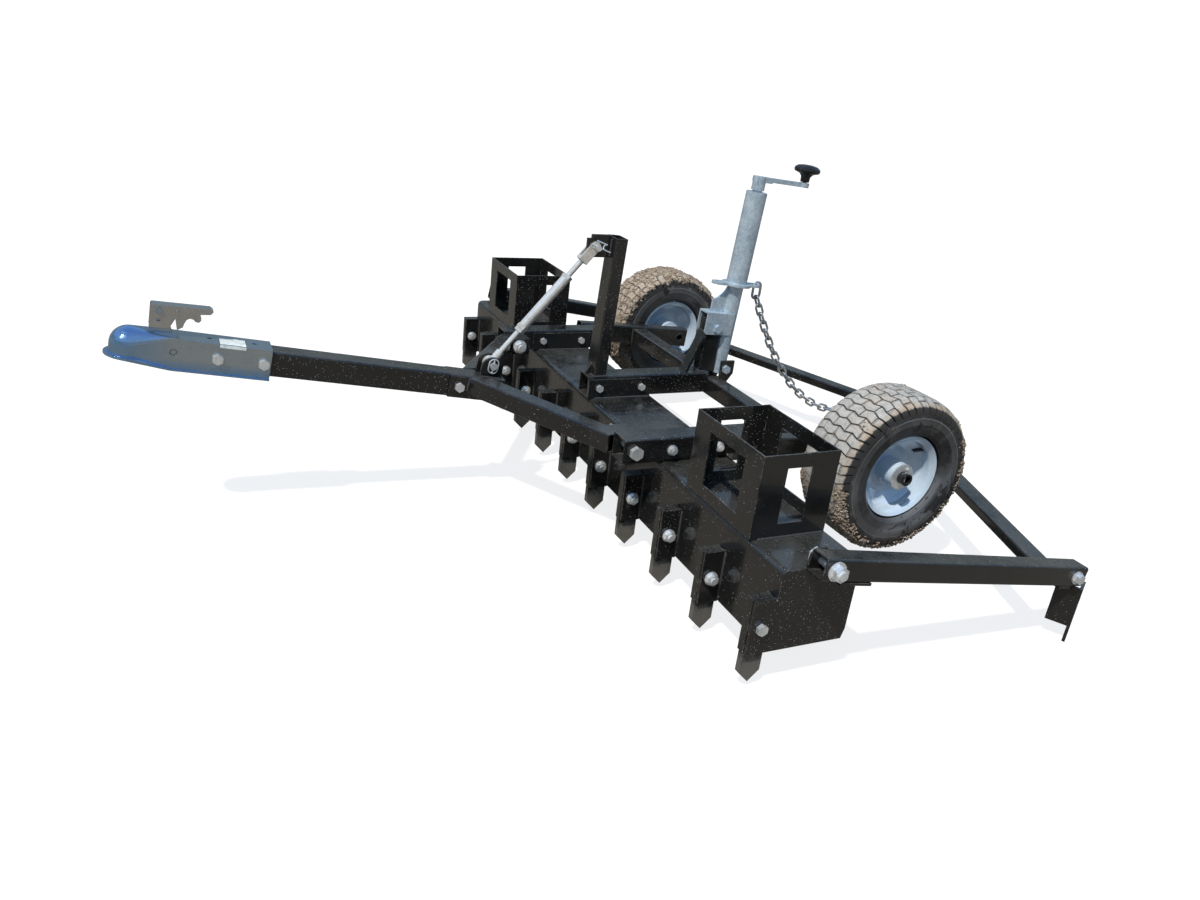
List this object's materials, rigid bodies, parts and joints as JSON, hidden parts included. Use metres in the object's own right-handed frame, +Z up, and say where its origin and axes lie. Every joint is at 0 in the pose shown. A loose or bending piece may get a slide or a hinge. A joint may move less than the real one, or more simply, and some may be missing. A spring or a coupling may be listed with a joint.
{
  "type": "soil pulverizer",
  "caption": "Tow-behind soil pulverizer: a toothed box with weight cages, turf wheels, a ball-hitch drawbar with turnbuckle, a crank jack and a chained rear drag frame.",
  "frame": {"origin": "centre of the hitch ball that the coupler takes", "axes": "+X to the machine's left, +Y from the hitch to the rear, +Z up, with the soil box level"},
  "size_m": [1.7248, 1.8681, 0.7562],
  "materials": {
    "black_paint": "gloss black powder coat with fine pale dust",
    "scarifier_steel": "black coat worn to light grey steel at the point",
    "zinc_fasteners": "satin zinc plate, slightly dull",
    "coupler_zinc": "bright zinc plate with a faint blue cast",
    "turnbuckle_zinc": "bright zinc plate",
    "jack_galvanised": "mottled galvanised steel",
    "knob_plastic": "black moulded plastic, satin",
    "chain_zinc": "bright zinc-plated wire",
    "tyre_rubber": "dark rubber with tan dried mud on the tread",
    "rim_enamel": "smooth silver enamel with a faint blue cast"
  },
  "bodies": {
    "frame": {"box_shell": "black_paint", "end_plate_left": "black_paint", "end_plate_right": "black_paint", "scarifier_brackets": "black_paint", "scarifier_01": "scarifier_steel", "scarifier_02": "scarifier_steel", "scarifier_03": "scarifier_steel", "scarifier_04": "scarifier_steel", "scarifier_05": "scarifier_steel", "scarifier_06": "scarifier_steel", "scarifier_07": "scarifier_steel", "scarifier_08": "scarifier_steel", "scarifier_09": "scarifier_steel", "scarifier_10": "scarifier_steel", "scarifier_11": "scarifier_steel", "scarifier_bolts": "zinc_fasteners", "rail_left": "black_paint", "rail_right": "black_paint", "rail_centre": "black_paint", "cross_tube": "black_paint", "rail_brackets": "black_paint", "frame_bolts": "zinc_fasteners", "mast": "black_paint", "wheel_arm_left": "black_paint", "wheel_arm_right": "black_paint", "axle_left": "black_paint", "axle_right": "black_paint", "axle_keepers": "zinc_fasteners", "weight_cage_left": "black_paint", "weight_cage_right": "black_paint", "jack_stand": "black_paint", "jack_leg": "jack_galvanised", "upper_pin": "zinc_fasteners"},
    "wheel_left": {"tyre_left": "tyre_rubber", "rim_left": "rim_enamel"},
    "wheel_right": {"tyre_right": "tyre_rubber", "rim_right": "rim_enamel"},
    "drawbar": {"tongue": "black_paint", "drawbar_arm_left": "black_paint", "drawbar_arm_right": "black_paint", "drawbar_plates": "black_paint", "drawbar_bolts": "zinc_fasteners", "coupler": "coupler_zinc"},
    "latch_lever": {"coupler_lever": "coupler_zinc"},
    "clamp": {"ball_clamp": "coupler_zinc"},
    "top_link": {"upper_clevis": "turnbuckle_zinc"},
    "barrel": {"turnbuckle_barrel": "turnbuckle_zinc"},
    "lower_rod": {"lower_clevis": "turnbuckle_zinc"},
    "jack_lifter": {"jack_tube": "jack_galvanised"},
    "crank": {"jack_crank": "jack_galvanised"},
    "knob": {"crank_knob": "knob_plastic"},
    "drag_frame": {"drag_arm_left": "black_paint", "drag_arm_right": "black_paint", "vee_bar_left": "black_paint", "vee_bar_right": "black_paint", "drag_hangers": "black_paint", "drag_bolts": "zinc_fasteners"},
    "chain": {"chain": "chain_zinc"}
  },
  "joints": [
    {"name": "wheel_left_spin", "type": "hinge", "parent": "frame", "child": "wheel_left", "pos_m": [0.494, 1.374, -0.133], "axis": [1, 0, 0], "continuous": true},
    {"name": "wheel_right_spin", "type": "hinge", "parent": "frame", "child": "wheel_right", "pos_m": [-0.494, 1.374, -0.133], "axis": [1, 0, 0], "continuous": true},
    {"name": "drawbar_pitch", "type": "hinge", "parent": "frame", "child": "drawbar", "pos_m": [0, 0.86, -0.1155], "axis": [1, 0, 0], "range_deg": [-6, 6]},
    {"name": "turnbuckle_swing", "type": "hinge", "parent": "frame", "child": "top_link", "pos_m": [0, 0.905, 0.197], "axis": [1, 0, 0], "range_deg": [-1.3, 1.3]},
    {"name": "barrel_spin", "type": "hinge", "parent": "top_link", "child": "barrel", "pos_m": [0, 0.905, 0.197], "axis": [0, -0.6449, -0.7643], "range_deg": [-1805, 1805]},
    {"name": "clevis_slide", "type": "slide", "parent": "top_link", "child": "lower_rod", "axis": [0, -0.6449, -0.7643], "range_m": [-0.018, 0.018]},
    {"name": "lever_open", "type": "hinge", "parent": "drawbar", "child": "latch_lever", "pos_m": [0, 0.0542, 0.06411], "axis": [1, 0, 0], "range_deg": [0, 75]},
    {"name": "clamp_slide", "type": "slide", "parent": "drawbar", "child": "clamp", "axis": [0, -0.1564, -0.9877], "range_m": [0, 0.006]},
    {"name": "jack_lift", "type": "slide", "parent": "frame", "child": "jack_lifter", "axis": [0, 0.068, 0.9977], "range_m": [0, 0.1405]},
    {"name": "crank_spin", "type": "hinge", "parent": "jack_lifter", "child": "crank", "pos_m": [0, 1.2915, 0.32803], "axis": [0, 0.068, 0.9977], "range_deg": [0, 10040]},
    {"name": "knob_spin", "type": "hinge", "parent": "crank", "child": "knob", "pos_m": [0, 1.41566, 0.35565], "axis": [0, 0.068, 0.9977], "continuous": true},
    {"name": "chain_swing", "type": "hinge", "parent": "jack_lifter", "child": "chain", "pos_m": [0, 1.33, 0.1186], "axis": [1, 0, 0], "range_deg": [-1.1, 0]},
    {"name": "drag_pitch", "type": "hinge", "parent": "frame", "child": "drag_frame", "pos_m": [0, 0.986, -0.125], "axis": [1, 0, 0], "range_deg": [0, 10.06]}
  ],
  "couplings": [
    {"joint": "barrel_spin", "follows": "drawbar_pitch", "ratio": 300},
    {"joint": "turnbuckle_swing", "follows": "drawbar_pitch", "ratio": 0.19916},
    {"joint": "clevis_slide", "follows": "drawbar_pitch", "m_per_rad": 0.16688},
    {"joint": "crank_spin", "follows": "drag_pitch", "ratio": 997.7},
    {"joint": "jack_lift", "follows": "drag_pitch", "m_per_rad": 0.79815},
    {"joint": "chain_swing", "follows": "drag_pitch", "ratio": -0.10312},
    {"joint": "clamp_slide", "follows": "lever_open", "m_per_rad": 0.0045}
  ]
}
